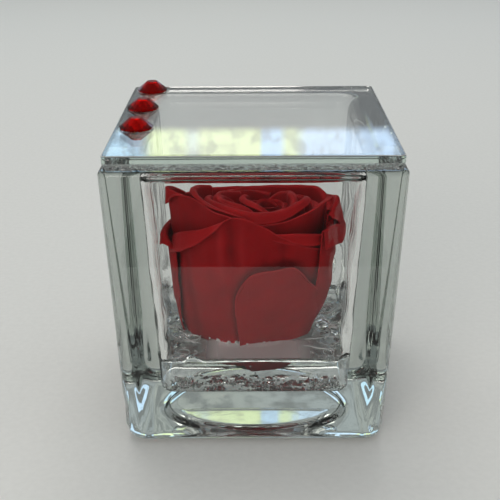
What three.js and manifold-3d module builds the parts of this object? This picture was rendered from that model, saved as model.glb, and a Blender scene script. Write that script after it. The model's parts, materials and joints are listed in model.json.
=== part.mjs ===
// A preserved rose in a glass cube: a thick pressed glass cube with a domed underside, a flat glass lid
// with three cut stones glued on it, and a rose head set in a bed of clear gel on the cube's floor.
// Millimetres, +Z up, origin at the middle of the underside. The front of the object faces -Y.
import * as THREE from "three";
import { ConvexGeometry } from "three/addons/geometries/ConvexGeometry.js";
import { mergeVertices } from "three/addons/utils/BufferGeometryUtils.js";
import Module from "manifold-3d";

// Driving dimensions of the glass cube
const TOP_HALF = 40;
const BASE_HALF = 37.6;
const CUBE_HEIGHT = 83.5;
const FLOOR_Z = 14;
const MOUTH_HALF = 30.2;
const FLOOR_HALF = 26.9;
const BASE_FILLET = 5.5;
const BASE_CORNER = 6;
const TOP_CORNER = 3;
const MOUTH_CORNER = 3.5;
const FLOOR_CORNER = 4.5;
const FLOOR_FILLET = 3;
const RIM_EDGE = 0.7;
const MOUTH_EDGE = 3.8;
const RECESS_RADIUS = 27;
const RECESS_DEPTH = 2.6;

// Driving dimensions of the lid and its stones
const LID_HALF = 38.85;
const LID_THICKNESS = 4;
const LID_ARRIS = 0.5;
const LID_CORNER = 1.6;
const LID_GAP = 0.15;
const STONE_RADIUS = 4.8;
const STONE_HEIGHT = 3.1;
const STONE_GIRDLE = 0.5;
const STONE_TABLE_RADIUS = 1.7;
const STONE_PLACES = { gem_front: [-32.6, -11.9], gem_middle: [-33.1, 10], gem_back: [-32.6, 33.5] };

// Driving dimensions of the gel bed and the rose
const GEL_TOP_Z = 23.6;
const GEL_SLOPE = 0.04;
const SKIN_GAP = 0.3;
const ROSE_X = 1.3;
const ROSE_Y = 0.5;
const HEART_SHIFT = 4;
const INNER_PETALS = 25;
const GOLDEN_ANGLE = 137.5;

const ARC_STEPS = 4;
const rad = THREE.MathUtils.degToRad;
const mix = THREE.MathUtils.lerp;
const wasm = await Module();
wasm.setup();

// Helpers that make closed solids

// One point of a rounded square, counted round from the middle of its front side.
function outlinePoint(column, half, corner) {
  const perCorner = ARC_STEPS + 1;
  const quadrant = Math.floor(column / perCorner) % 4;
  const turn = ((column % perCorner) / ARC_STEPS + quadrant - 1) * (Math.PI / 2);
  const signX = quadrant < 2 ? 1 : -1;
  const signY = quadrant === 1 || quadrant === 2 ? 1 : -1;
  const x = signX * (half - corner) + corner * Math.cos(turn);
  const y = signY * (half - corner) + corner * Math.sin(turn);
  return [x, y];
}

// A lathe whose rings are rounded squares, one per level [half width, corner radius, height].
// A corner radius equal to the half width makes a circle, and a half width of 0 is a point on the axis.
function squareLathe(levels) {
  const columns = 4 * (ARC_STEPS + 1);
  const profile = levels.map(([half, , z]) => new THREE.Vector2(half, z));
  const geometry = new THREE.LatheGeometry(profile, columns);
  const position = geometry.getAttribute("position");
  for (let column = 0; column <= columns; column++) {
    levels.forEach(([half, corner, z], level) => {
      const [x, y] = outlinePoint(column, half, corner);
      position.setXYZ(column * levels.length + level, x, y, z);
    });
  }
  return geometry;
}

// A round lathe about Z with its middle at x, y.
function roundLathe(profile, segments, x, y) {
  const points = profile.map(([radius, z]) => new THREE.Vector2(radius, z));
  return new THREE.LatheGeometry(points, segments).rotateX(Math.PI / 2).translate(x, y, 0);
}

// Points of a quarter round in a level list, from an angle to an angle, about a centre.
function arcPoints(centreHalf, centreZ, radius, from, to, steps) {
  return Array.from({ length: steps + 1 }, (_, k) => {
    const turn = rad(mix(from, to, k / steps));
    return [centreHalf + radius * Math.cos(turn), centreZ + radius * Math.sin(turn)];
  });
}

function toSolid(geometry) {
  const bare = geometry.clone();
  bare.deleteAttribute("normal");
  bare.deleteAttribute("uv");
  const merged = mergeVertices(bare, 1e-4);
  const vertProperties = merged.getAttribute("position").array;
  const triVerts = new Uint32Array(merged.index.array);
  return new wasm.Manifold(new wasm.Mesh({ numProp: 3, vertProperties, triVerts }));
}

function fromSolid(solid) {
  const { vertProperties, triVerts, numProp } = solid.getMesh();
  const geometry = new THREE.BufferGeometry();
  geometry.setAttribute("position", new THREE.BufferAttribute(vertProperties, numProp));
  geometry.setIndex(new THREE.BufferAttribute(triVerts, 1));
  return geometry;
}

function addPiece(group, name, geometry, material) {
  geometry.computeVertexNormals();
  const mesh = new THREE.Mesh(geometry, material);
  mesh.name = name;
  group.add(mesh);
  return mesh;
}

// The glass cube

// Half width and corner radius of the cavity at a height: it narrows and rounds towards the floor.
function cavityAt(z) {
  const up = (z - FLOOR_Z) / (CUBE_HEIGHT - FLOOR_Z);
  return [mix(FLOOR_HALF, MOUTH_HALF, up), mix(FLOOR_CORNER, MOUTH_CORNER, up)];
}

function cubeLevels() {
  const dome = [0, 0.35, 0.7, 0.93].map((share) => {
    const radius = RECESS_RADIUS * share;
    return [radius, radius, RECESS_DEPTH * (1 - 0.75 * share * share)];
  });
  const recessEdge = [[RECESS_RADIUS, RECESS_RADIUS, 0]];
  const fillet = arcPoints(BASE_HALF - BASE_FILLET, BASE_FILLET, BASE_FILLET, -90, 0, 4).map(
    ([half, z]) => [half, half - BASE_HALF + BASE_CORNER, z],
  );
  const rim = [
    [TOP_HALF, TOP_CORNER, CUBE_HEIGHT - RIM_EDGE],
    [TOP_HALF - RIM_EDGE, TOP_CORNER - RIM_EDGE, CUBE_HEIGHT],
  ];
  const mouth = arcPoints(MOUTH_HALF + MOUTH_EDGE, CUBE_HEIGHT - MOUTH_EDGE, MOUTH_EDGE, 90, 180, 3).map(
    ([half, z]) => [half, half - MOUTH_HALF + MOUTH_CORNER, z],
  );
  const walls = [62, 43, FLOOR_Z + FLOOR_FILLET].map((z) => [...cavityAt(z), z]);
  const [lowHalf, lowCorner] = cavityAt(FLOOR_Z + FLOOR_FILLET);
  const foot = arcPoints(lowHalf - FLOOR_FILLET, FLOOR_Z + FLOOR_FILLET, FLOOR_FILLET, -22.5, -90, 3).map(
    ([half, z]) => [half, lowCorner - lowHalf + half, z],
  );
  return [...dome, ...recessEdge, ...fillet, ...rim, ...mouth, ...walls, ...foot, [0, 0, FLOOR_Z]];
}

// The lid

function lidLevels() {
  const low = CUBE_HEIGHT + LID_GAP;
  const high = low + LID_THICKNESS;
  const inner = [LID_HALF - LID_ARRIS, LID_CORNER - LID_ARRIS];
  const outer = [LID_HALF, LID_CORNER];
  return [
    [0, 0, low],
    [...inner, low],
    [...outer, low + LID_ARRIS],
    [...outer, high - LID_ARRIS],
    [...inner, high],
    [0, 0, high],
  ];
}

// A cut stone with a flat back: a thin girdle of 16 sides, eight kites, and an eight-sided table.
function stoneGeometry() {
  const ring = (count, radius, z, offset) =>
    Array.from({ length: count }, (_, k) => {
      const turn = ((k + offset) * 2 * Math.PI) / count;
      return new THREE.Vector3(radius * Math.cos(turn), radius * Math.sin(turn), z);
    });
  const middleRadius = STONE_RADIUS * 0.72;
  const middleZ = STONE_HEIGHT * 0.6;
  return new ConvexGeometry([
    ...ring(16, STONE_RADIUS, 0, 0),
    ...ring(16, STONE_RADIUS, STONE_GIRDLE, 0),
    ...ring(8, middleRadius, middleZ, 0.5),
    ...ring(8, STONE_TABLE_RADIUS, STONE_HEIGHT, 0),
  ]);
}

// The gel bed: it fills the cavity's foot round the rose, a little deeper at the front.
function gelGeometry() {
  const [half, corner] = cavityAt(FLOOR_Z + FLOOR_FILLET);
  const side = half - SKIN_GAP;
  const edge = corner - SKIN_GAP;
  const bottom = FLOOR_Z + SKIN_GAP;
  const bed = squareLathe([
    [0, 0, bottom],
    [side - FLOOR_FILLET, edge - FLOOR_FILLET, bottom],
    [side - FLOOR_FILLET * 0.3, edge - FLOOR_FILLET * 0.3, bottom + FLOOR_FILLET * 0.32],
    [side, edge, GEL_TOP_Z],
    [0, 0, GEL_TOP_Z],
  ]);
  const position = bed.getAttribute("position");
  for (let k = 0; k < position.count; k++) {
    const high = position.getZ(k) > GEL_TOP_Z - 0.01;
    if (high) position.setZ(k, GEL_TOP_Z - GEL_SLOPE * position.getY(k));
  }
  const pocket = roundLathe(
    [
      [0, FLOOR_Z - 1],
      [14.2, FLOOR_Z - 1],
      [15.4, 16],
      [17.9, 20.6],
      [19.6, 25.5],
      [0, 25.5],
    ],
    32,
    ROSE_X,
    ROSE_Y,
  );
  return fromSolid(toSolid(bed).subtract(toSolid(pocket)));
}

// The rose

// Side profile of the innermost and the outermost petal, as [distance from the axis, height]. Every
// other petal lies between the two, so petals of different rank never touch.
const INNER_PROFILE = [
  [0.9, 33.5],
  [2, 36.5],
  [2.6, 42],
  [2.8, 48],
  [2.8, 54],
  [2.7, 60],
  [2.6, 66],
];
const OUTER_PROFILE = [
  [8.9, 15.6],
  [13, 16.2],
  [16.6, 21],
  [20.2, 31],
  [23.2, 42.5],
  [25.2, 54],
  [26.4, 66.5],
];

// A petal's point: across runs -1 to 1 over its width, along runs 0 to 1 from claw to lip.
// petal: rank 0 to 1, azimuth from the front towards +X, halfWidth in degrees, reach, drop and lip.
function petalPoint(petal, across, along, through) {
  const profile = new THREE.SplineCurve(
    INNER_PROFILE.map(
      ([r, z], k) =>
        new THREE.Vector2(mix(r, OUTER_PROFILE[k][0], petal.rank), mix(z, OUTER_PROFILE[k][1], petal.rank)),
    ),
  );
  const share = along * petal.reach * (1 - petal.drop * Math.abs(across) ** 2.4);
  const { x: radius, y: height } = profile.getPoint(share);
  const tangent = profile.getTangent(share);
  const open = THREE.MathUtils.smoothstep(along, -0.1, 0.55);
  const width = mix(Math.min(20, petal.halfWidth), petal.halfWidth, open);
  const turn = rad(petal.azimuth + across * width);
  const curl = petal.lip * THREE.MathUtils.smoothstep(along, 0.72, 1);
  const thickness = mix(0.24, petal.thickness, Math.min(1, along * 3));
  const out = radius + petal.pinwheel * across + curl + through * thickness * tangent.y;
  const lean = HEART_SHIFT * (1 - petal.rank) * share * share;
  const z = height - 0.35 * curl - through * thickness * tangent.x;
  return new THREE.Vector3(ROSE_X + lean + out * Math.sin(turn), ROSE_Y - out * Math.cos(turn), z);
}

function petalGeometry(petal) {
  const columns = petal.rank < 0.25 ? 8 : 7;
  const rows = 6;
  const geometry = new THREE.BoxGeometry(2, 1, 1, columns, rows, 1);
  const position = geometry.getAttribute("position");
  for (let k = 0; k < position.count; k++) {
    const across = position.getX(k);
    const along = position.getY(k) + 0.5;
    const point = petalPoint(petal, across, along, position.getZ(k));
    position.setXYZ(k, point.x, point.y, point.z);
  }
  return geometry;
}

// The heart and the middle of the rose: petals turn by the golden angle and widen outwards.
function innerPetals() {
  return Array.from({ length: INNER_PETALS }, (_, k) => {
    const outward = k / (INNER_PETALS - 1);
    return {
      rank: 0.02 + 0.7 * outward,
      azimuth: -75 - (INNER_PETALS - 1 - k) * GOLDEN_ANGLE,
      halfWidth: mix(100, 62, Math.min(1, outward * 1.6)),
      reach: mix(0.915, 0.985, Math.min(1, outward * 1.5)),
      drop: mix(0.06, 0.12, outward),
      lip: mix(0, 0.35, outward),
      pinwheel: -0.3,
      thickness: mix(0.34, 0.42, outward),
    };
  });
}

// The nine outer petals, each placed by eye, from the inside out.
const OUTER_PETALS = [
  { rank: 0.755, azimuth: 62, halfWidth: 56, reach: 0.94, drop: 0.14, lip: 0.4 },
  { rank: 0.79, azimuth: -160, halfWidth: 60, reach: 0.95, drop: 0.14, lip: 0.4 },
  { rank: 0.83, azimuth: -62, halfWidth: 52, reach: 0.945, drop: 0.14, lip: 0.4 },
  { rank: 0.865, azimuth: 128, halfWidth: 54, reach: 0.94, drop: 0.14, lip: 0.4 },
  { rank: 0.9, azimuth: -10, halfWidth: 62, reach: 0.985, drop: 0.2, lip: 0.5 },
  { rank: 0.91, azimuth: -171, halfWidth: 50, reach: 0.91, drop: 0.16, lip: 0.5 },
  { rank: 0.965, azimuth: 101, halfWidth: 44, reach: 0.885, drop: 0.12, lip: 1 },
  { rank: 0.98, azimuth: -107, halfWidth: 41, reach: 0.885, drop: 0.12, lip: 1 },
  { rank: 1, azimuth: 22, halfWidth: 34, reach: 0.79, drop: 0.2, lip: 0.2 },
];

// The hip that the petals grow from, cut off flat below.
function receptacleGeometry() {
  const profile = [
    [0, FLOOR_Z + 0.6],
    [7.6, FLOOR_Z + 0.6],
    [8, 15.9],
    [4.2, 24.3],
    [0.9, 32.2],
    [0, 32.6],
  ];
  return roundLathe(profile, 20, ROSE_X, ROSE_Y);
}

// The object

const rose_in_glass_cube = new THREE.Group();
rose_in_glass_cube.name = "rose_in_glass_cube";

const clearGlass = new THREE.MeshStandardMaterial({ color: 0xdfe9e3, roughness: 0.03, metalness: 0 });
clearGlass.transparent = true;
clearGlass.opacity = 0.35;
const plateGlass = clearGlass.clone();
plateGlass.color.set(0xc9dfd2);
const redStone = new THREE.MeshStandardMaterial({ color: 0x8c0a10, roughness: 0.05, metalness: 0 });
const clearGel = new THREE.MeshStandardMaterial({ color: 0xe8eeea, roughness: 0.1, metalness: 0 });
clearGel.transparent = true;
clearGel.opacity = 0.4;
const hipGreen = new THREE.MeshStandardMaterial({ color: 0x4b3a22, roughness: 0.9, metalness: 0 });
const petalRed = new THREE.MeshStandardMaterial({ color: 0x7a0f14, roughness: 0.75, metalness: 0 });

addPiece(rose_in_glass_cube, "glass_cube", squareLathe(cubeLevels()), clearGlass);
addPiece(rose_in_glass_cube, "lid", squareLathe(lidLevels()), plateGlass);
for (const [name, [x, y]] of Object.entries(STONE_PLACES)) {
  const stone = addPiece(rose_in_glass_cube, name, stoneGeometry(), redStone);
  stone.position.set(x, y, CUBE_HEIGHT + LID_GAP + LID_THICKNESS);
}
addPiece(rose_in_glass_cube, "gel_bed", gelGeometry(), clearGel);
addPiece(rose_in_glass_cube, "receptacle", receptacleGeometry(), hipGreen);
const outerPetals = OUTER_PETALS.map((petal) => ({ pinwheel: -0.2, thickness: 0.5, ...petal }));
[...innerPetals(), ...outerPetals].forEach((petal, k) => {
  const name = `petal_${String(k + 1).padStart(2, "0")}`;
  addPiece(rose_in_glass_cube, name, petalGeometry(petal), petalRed);
});

export default rose_in_glass_cube;
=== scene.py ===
# %% [markdown]
# # A preserved rose in a glass cube
# A real rose head, dried and dyed with glycerine so that it stays soft, stands in a thick pressed glass
# cube. Clear gel holds its foot, a plate of cut window glass closes the cube, and three red rhinestones
# are glued on the plate. The solid model gives the places and sizes. This lesson dresses it: each piece is
# modelled again as finely as the eye sees it, and gets the finish of the real one.

# %% The fixed frame
import json
import math
import random

import bmesh
import bpy
from mathutils import Matrix, Vector, noise

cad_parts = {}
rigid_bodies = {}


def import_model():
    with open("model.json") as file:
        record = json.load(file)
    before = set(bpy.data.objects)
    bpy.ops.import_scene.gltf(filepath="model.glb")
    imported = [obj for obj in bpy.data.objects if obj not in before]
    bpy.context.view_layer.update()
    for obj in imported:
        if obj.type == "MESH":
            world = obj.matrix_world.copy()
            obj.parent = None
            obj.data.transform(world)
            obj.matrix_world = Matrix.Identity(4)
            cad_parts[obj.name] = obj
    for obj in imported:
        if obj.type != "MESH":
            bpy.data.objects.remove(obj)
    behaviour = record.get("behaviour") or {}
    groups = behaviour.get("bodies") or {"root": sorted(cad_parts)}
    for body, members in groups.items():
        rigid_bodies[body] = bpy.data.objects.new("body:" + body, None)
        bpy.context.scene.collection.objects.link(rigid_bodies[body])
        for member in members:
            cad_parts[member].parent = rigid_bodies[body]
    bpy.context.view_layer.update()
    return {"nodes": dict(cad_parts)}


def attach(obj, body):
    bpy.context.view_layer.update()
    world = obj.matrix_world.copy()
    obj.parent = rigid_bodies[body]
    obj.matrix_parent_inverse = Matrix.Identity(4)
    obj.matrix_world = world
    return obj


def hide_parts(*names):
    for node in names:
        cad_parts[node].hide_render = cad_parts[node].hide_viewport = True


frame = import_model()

MM = 0.001
scene = bpy.context.scene

# %% [markdown]
# ## The camera
# The picture is taken from a little above, about 27 cm away, with a lens of normal length. A camera could
# be aimed with a Track To constraint, but then it could not be rolled by a third of a degree. So it is
# turned by three plain angles, and its matrix is put together from the directions right, up and back.

# %% The camera
CAMERA_PLACE = Vector((0.5, -268, 158)) * MM
CAMERA_YAW, CAMERA_PITCH, CAMERA_ROLL = (math.radians(a) for a in (-0.37, 22.74, -0.36))
LENS_MM, SENSOR_MM = 68.1, 36


def make_camera():
    level = math.cos(CAMERA_PITCH)
    ahead = Vector((math.sin(CAMERA_YAW) * level, math.cos(CAMERA_YAW) * level, -math.sin(CAMERA_PITCH)))
    right = Vector((math.cos(CAMERA_YAW), -math.sin(CAMERA_YAW), 0))
    up = right.cross(ahead)
    rolled_right = right * math.cos(CAMERA_ROLL) + up * math.sin(CAMERA_ROLL)
    rolled_up = rolled_right.cross(ahead)
    data = bpy.data.cameras.new("camera")
    data.lens, data.sensor_width = LENS_MM, SENSOR_MM
    data.clip_start, data.clip_end = 0.01, 20
    camera = bpy.data.objects.new("camera", data)
    scene.collection.objects.link(camera)
    turned = Matrix((rolled_right, rolled_up, -ahead)).transposed().to_4x4()
    camera.matrix_world = Matrix.Translation(CAMERA_PLACE) @ turned
    scene.camera = camera
    return camera


print("camera at, mm:", [round(v / MM) for v in make_camera().location])

# %% [markdown]
# ## Tools for materials
# A material is a small tree of nodes. One function turns a colour as a screen shows it into the linear
# numbers that light is reckoned in. Another adds any node, sets it and links what feeds it, so that each
# material below reads as a list of its nodes.

# %% Tools for materials


def linear(hex_colour):
    """An sRGB colour such as "7a0f14" as linear red, green, blue and alpha 1."""
    shares = [int(hex_colour[k : k + 2], 16) / 255 for k in (0, 2, 4)]
    return (*(s / 12.92 if s <= 0.04045 else ((s + 0.055) / 1.055) ** 2.4 for s in shares), 1)


def feed(tree, node, inputs):
    """Feeds inputs by name, with _ for a space, or by number, as _0. A socket is linked, a value is set."""
    for name, value in inputs.items():
        socket = node.inputs[int(name[1:])] if name[1:].isdigit() else node.inputs[name.replace("_", " ")]
        if isinstance(value, bpy.types.NodeSocket):
            tree.links.new(value, socket)
        else:
            socket.default_value = value


def add_node(tree, kind, settings=None, **inputs):
    """Adds a node with its settings, and feeds it."""
    node = tree.nodes.new(kind)
    for name, value in (settings or {}).items():
        setattr(node, name, value)
    feed(tree, node, inputs)
    return node


def new_material(name, **inputs):
    """A material whose Principled shader is fed: returns the material, its tree and the shader."""
    material = bpy.data.materials.new(name)
    material.use_nodes = True
    tree = material.node_tree
    shader = tree.nodes["Principled BSDF"]
    feed(tree, shader, inputs)
    return material, tree, shader


def colour_ramp(tree, share, *stops):
    """A ramp with stops of (place, hex colour), fed by share."""
    ramp = add_node(tree, "ShaderNodeValToRGB", Fac=share)
    elements = ramp.color_ramp.elements
    while len(elements) < len(stops):
        elements.new(0.5)
    for element, (place, hex_colour) in zip(elements, stops):
        element.position, element.color = place, linear(hex_colour)
    return ramp.outputs["Color"]


print("a deep red, as linear shares:", [round(v, 3) for v in linear("b01219")[:3]])

# %% [markdown]
# ## Clear materials
# Pressed soda-lime glass, cut float glass and the gel are all clear, so each has full transmission, its
# own index of refraction, and a faint absorption in its volume. The absorption is what makes a thick base
# or the long way through the edge of a plate look green, while a thin wall looks white. A tint on the
# surface would be simpler, but it would colour thick and thin alike. How matt the skin is differs from
# place to place on one piece, so each vert of the mesh carries it, and the roughness reads it. Where the
# skin is more than a little matt it turns milky too, and the transmission weight drops. Only the snapped
# band of the lid is equally dull all over, so its glass is given its own roughness.

# %% Clear materials
GLASS_IOR, GEL_IOR = 1.52, 1.47
FLOAT_GREEN, FLOAT_DENSITY = "a8cdba", 9
# a skin is clear up to the first matt value, milkiest from the second on, and then still this clear
DULL_FROM, DULL_TO, DULL_CLEAR = 0.17, 0.29, 0.28


def clear_material(name, ior, absorbed, density, **skin):
    """A clear solid, with the colour that it leaves and its density. With no skin given, the mesh has it."""
    material, tree, shader = new_material(name, Base_Color=(1, 1, 1, 1), Transmission_Weight=1, IOR=ior)
    if not skin:
        matt = add_node(tree, "ShaderNodeAttribute", {"attribute_name": "matt"})
        clear = add_node(tree, "ShaderNodeMapRange", {"clamp": True}, Value=matt.outputs["Fac"],
                         From_Min=DULL_FROM, From_Max=DULL_TO, To_Min=1, To_Max=DULL_CLEAR)
        skin = dict(Roughness=matt.outputs["Fac"], Transmission_Weight=clear.outputs["Result"])
    feed(tree, shader, skin)
    volume = add_node(tree, "ShaderNodeVolumeAbsorption", Color=linear(absorbed), Density=density)
    tree.links.new(volume.outputs["Volume"], tree.nodes["Material Output"].inputs["Volume"])
    return material


PRESSED_GLASS = clear_material("pressed_soda_lime_glass", GLASS_IOR, "d0d7d2", 20)
FLOAT_GLASS = clear_material("cut_float_glass", GLASS_IOR, FLOAT_GREEN, FLOAT_DENSITY)
SNAPPED_GLASS = clear_material("snapped_float_glass", GLASS_IOR, FLOAT_GREEN, FLOAT_DENSITY,
                               Roughness=0.2, Transmission_Weight=0.86)
CLEAR_GEL = clear_material("clear_setting_gel", GEL_IOR, "e6efe9", 4)
print("clear materials:", [m.name for m in (PRESSED_GLASS, FLOAT_GLASS, SNAPPED_GLASS, CLEAR_GEL)])

# %% [markdown]
# ## Tools for pieces
# Every finished piece is an object that sits at the origin, with its place in its mesh. The shapes are
# worked in millimetres and turned to metres when the piece is finished. Each piece stands for a node of
# the solid model, and all of them ride on the one body.

# %% Tools for pieces


def mix(a, b, share):
    return a + (b - a) * share


def smooth(low, high, value):
    """From 0 at low to 1 at high, with a soft start and end. High may be less than low."""
    share = min(1, max(0, (value - low) / (high - low)))
    return share * share * (3 - 2 * share)


def wave(across, along, layer):
    """Noise between -1 and 1. Each layer is a pattern of its own."""
    return noise.noise(Vector((across, along, layer)))


def new_object(bm, name, *materials):
    """Turns a bmesh into an object at the origin. The bmesh is used up."""
    mesh = bpy.data.meshes.new(name)
    bm.to_mesh(mesh)
    bm.free()
    made = bpy.data.objects.new(name, mesh)
    scene.collection.objects.link(made)
    for material in materials:
        mesh.materials.append(material)
    return made


def finish_piece(bm, name, node, slot, *materials):
    """Turns a bmesh in mm into a piece in metres that stands for a node and rides on the root."""
    bmesh.ops.scale(bm, vec=(MM, MM, MM), verts=bm.verts)
    piece = new_object(bm, name, *materials)
    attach(piece, "root")
    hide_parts(node)
    return piece


print("half way from 2 to 4:", mix(2, 4, 0.5), "and softly:", mix(2, 4, smooth(0, 1, 0.25)))

# %% [markdown]
# ## Skins grown ring by ring
# The cube, the lid and the gel have rounded square outlines. One helper gives the points of a ring on such
# an outline, and one grows a skin: a circle is made, its edges are extruded again and again, and each new
# ring is put in its shape. A bevelled box could give the same roundings, but the rings also give even
# columns of faces, which waves and ripples can be pushed into later.

# %% Skins grown ring by ring
GUARD = 0.004


def square_ring_point(column, flats, arcs, half, corner, roundness=0.0):
    """A point of a rounded square, counted round from the middle of the front side, as x, y.

    Each quarter has flats steps on its straight side and arcs steps on its corner. A side's first and last
    step lie close to its ends, which keeps its shading flat. A roundness of 1 makes a circle of that half
    width instead, with its points in the same directions."""
    per_quarter = flats + arcs
    quarter, step = divmod(column + flats // 2, per_quarter)
    straight = half - corner
    if step <= flats:
        along = {1: GUARD, flats - 1: 1 - GUARD}.get(step, step / flats)
        local = Vector((mix(-straight, straight, along), -half))
    else:
        turn = math.radians(90 * (step - flats) / arcs - 90)
        local = Vector((straight + corner * math.cos(turn), -straight + corner * math.sin(turn)))
    if roundness:
        local = local.lerp(local.normalized() * half, roundness)
    turned = math.radians(90 * quarter)
    x = local.x * math.cos(turned) - local.y * math.sin(turned)
    y = local.x * math.sin(turned) + local.y * math.cos(turned)
    return x, y


def grow_rings(levels, columns, place):
    """A closed skin of rings. place(column, level) gives each point; the first and last ring are closed."""
    bm = bmesh.new()
    number = bm.verts.layers.int.new("column")
    ring = bmesh.ops.create_circle(bm, segments=columns, radius=1)["verts"]
    for column, vert in enumerate(ring):
        vert[number] = column
        vert.co = place(column, levels[0])
    first = list(ring)
    edges = bm.edges[:]
    for level in levels[1:]:
        grown = bmesh.ops.extrude_edge_only(bm, edges=edges)["geom"]
        edges = [g for g in grown if isinstance(g, bmesh.types.BMEdge)]
        ring = [g for g in grown if isinstance(g, bmesh.types.BMVert)]
        for vert in ring:
            vert.co = place(vert[number], level)
    for end in (first, ring):
        middle = sum((v.co for v in end), Vector()) / len(end)
        bmesh.ops.pointmerge(bm, verts=end, merge_co=middle)
    bmesh.ops.recalc_face_normals(bm, faces=bm.faces)
    for face in bm.faces:
        face.smooth = True
    return bm


def join_meshes(bm, other):
    """Adds a second bmesh to the first one. The second is used up."""
    mesh = bpy.data.meshes.new("joined")
    other.to_mesh(mesh)
    other.free()
    bm.from_mesh(mesh)
    bpy.data.meshes.remove(mesh)


def set_matt(bm, matt_at):
    """Gives each vert its roughness, from its place in mm."""
    layer = bm.verts.layers.float.new("matt")
    for vert in bm.verts:
        vert[layer] = matt_at(vert.co)


print("a square of 80 mm has a corner at, mm:", [round(v, 1) for v in square_ring_point(9, 10, 8, 40, 3)])

# %% [markdown]
# ## The glass cube
# A gob of glass is pressed in an iron mould by a plunger. The mould gives flat, bright outer walls with a
# slight taper, and a wide, shallow recess underneath, so that the cube stands on its border and doesn't
# rock. The plunger gives the cavity, whose floor lies high over the table. A box with a smaller box cut out
# of it would be quick, but its edges would be hard, and glass shows each edge twice. So the skin is grown
# from the recess's middle out over the foot, up the outer wall, over the rim, down the inner wall and
# across the floor. It is one closed solid, and every edge is rounded by a few more rings.

# %% The cube's sizes
TOP_HALF, BASE_HALF, CUBE_HEIGHT, FLOOR_Z = 40, 37.6, 83.5, 14
MOUTH_HALF, FLOOR_HALF = 30.2, 26.9
BASE_FILLET, BASE_CORNER, TOP_CORNER = 5.5, 6, 3
MOUTH_CORNER, FLOOR_CORNER, FLOOR_FILLET = 3.5, 4.5, 2.4
RIM_EDGE, MOUTH_EDGE, RIM_GUARD = 1.1, 3.8, 0.05
RECESS_RADIUS, RECESS_DEPTH, RECESS_CROWN, RECESS_SLOPE = 27, 2, 0.12, 0.3
# rings from the round recess to the square foot: half width, corner, height and roundness
BORDER_RINGS = ((RECESS_RADIUS + 0.5, 0, 0.3, 1), (RECESS_RADIUS + 1.2, 0, 0, 1), (29.5, 3, 0, 0.6))
CUBE_FLATS, CUBE_ARCS = 60, 28
RECESS_STEPS, FOOT_STEPS, WALL_STEPS, RIM_STEPS = 24, 10, 14, 5
MOUTH_STEPS, CAVITY_STEPS, FILLET_STEPS = 10, 66, 6
FLOOR_SHARES = (0.995, 0.8, 0.6, 0.4, 0.2, 0.05)


def cavity_at(z):
    """Half width and corner radius of the cavity at a height."""
    up = (z - FLOOR_Z) / (CUBE_HEIGHT - FLOOR_Z)
    return mix(FLOOR_HALF, MOUTH_HALF, up), mix(FLOOR_CORNER, MOUTH_CORNER, up)


print("wall at the rim and at the floor, mm:", TOP_HALF - MOUTH_HALF, round(BASE_HALF - FLOOR_HALF, 1))

# %% The cube's rings


def shares(steps, guard=GUARD):
    """Even shares from 0 to 1, with one more close to each end, which keeps the shading of a flat flat."""
    return [0, guard, *(k / steps for k in range(1, steps)), 1 - guard, 1]


def round_edge(half, corner, z, radius, start, end, steps):
    """Levels of a rounded edge: from a start to an end angle about the point half, z."""
    for k in range(steps + 1):
        turn = math.radians(mix(start, end, k / steps))
        reach = radius * math.cos(turn)
        yield dict(half=half + reach, corner=corner + reach, z=z + radius * math.sin(turn))


def outer_levels():
    """From the recess's middle to the rim's outer edge."""
    levels = []
    for k in range(1, RECESS_STEPS + 1):
        share = k / RECESS_STEPS
        sunk = 1 - RECESS_CROWN * share**2 - RECESS_SLOPE * smooth(0.9, 1, share)
        levels.append(dict(half=RECESS_RADIUS * share, corner=0, z=RECESS_DEPTH * sunk, roundness=1))
    for half, corner, z, roundness in BORDER_RINGS:
        levels.append(dict(half=half, corner=corner, z=z, roundness=roundness))
    centre, corner = BASE_HALF - BASE_FILLET, BASE_CORNER - BASE_FILLET
    levels += round_edge(centre, corner, BASE_FILLET, BASE_FILLET, -90, 0, FOOT_STEPS)
    top = CUBE_HEIGHT - RIM_EDGE
    for up in shares(WALL_STEPS)[1:-1]:
        half, corner = mix(BASE_HALF, TOP_HALF, up), mix(BASE_CORNER, TOP_CORNER, up)
        levels.append(dict(half=half, corner=corner, z=mix(BASE_FILLET, top, up)))
    half, corner = TOP_HALF - RIM_EDGE, TOP_CORNER - RIM_EDGE
    levels += round_edge(half, corner, top, RIM_EDGE, 0, 90, RIM_STEPS)
    levels.append(dict(half=half - RIM_GUARD, corner=corner, z=CUBE_HEIGHT))
    return levels


def inner_levels():
    """From the rim's inner edge down the cavity's wall to the middle of its floor."""
    half, corner = MOUTH_HALF + MOUTH_EDGE, MOUTH_CORNER + MOUTH_EDGE
    levels = [dict(half=half + RIM_GUARD, corner=corner, z=CUBE_HEIGHT)]
    top = CUBE_HEIGHT - MOUTH_EDGE
    for level in round_edge(-half, -corner, top, MOUTH_EDGE, 90, 0, MOUTH_STEPS):
        levels.append(dict(half=-level["half"], corner=-level["corner"], z=level["z"]))
    foot = FLOOR_Z + FLOOR_FILLET
    for share in shares(CAVITY_STEPS, 0.001)[1:]:
        z = mix(top, foot, share)
        half, corner = cavity_at(z)
        levels.append(dict(half=half, corner=corner, z=z, ripple=0.01 < share < 0.99))
    half, corner = (v - FLOOR_FILLET for v in cavity_at(foot))
    levels += list(round_edge(half, corner, foot, FLOOR_FILLET, 0, -90, FILLET_STEPS))[1:]
    levels += [dict(half=half * share, corner=corner * share, z=FLOOR_Z) for share in FLOOR_SHARES]
    return levels


CUBE_LEVELS = outer_levels() + inner_levels()
print("rings of the cube:", len(CUBE_LEVELS))

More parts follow.
